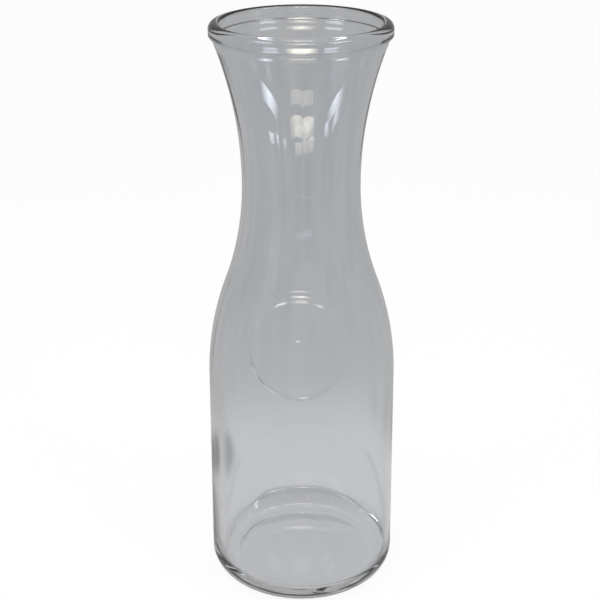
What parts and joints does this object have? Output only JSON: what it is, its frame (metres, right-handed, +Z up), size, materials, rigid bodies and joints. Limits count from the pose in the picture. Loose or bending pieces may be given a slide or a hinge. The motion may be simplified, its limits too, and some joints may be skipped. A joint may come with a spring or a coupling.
{
  "type": "water carafe",
  "caption": "Clear glass litre carafe with a tapered body, long drawn-in neck, flared mouth with a rounded bead, and a raised blank round medallion on the front.",
  "frame": {"origin": "centre of the base on the standing plane", "axes": "+Z up along the axis of the carafe, -Y towards the front, where the round medallion is, +X to the right seen from the front"},
  "size_m": [0.0888, 0.0888, 0.27],
  "materials": {
    "clear_glass": "gloss"
  },
  "bodies": {
    "root": {"base_floor": "clear_glass", "heel": "clear_glass", "body_wall": "clear_glass", "shoulder": "clear_glass", "neck": "clear_glass", "mouth_flare": "clear_glass", "rim_bead": "clear_glass", "front_medallion": "clear_glass"}
  },
  "joints": []
}
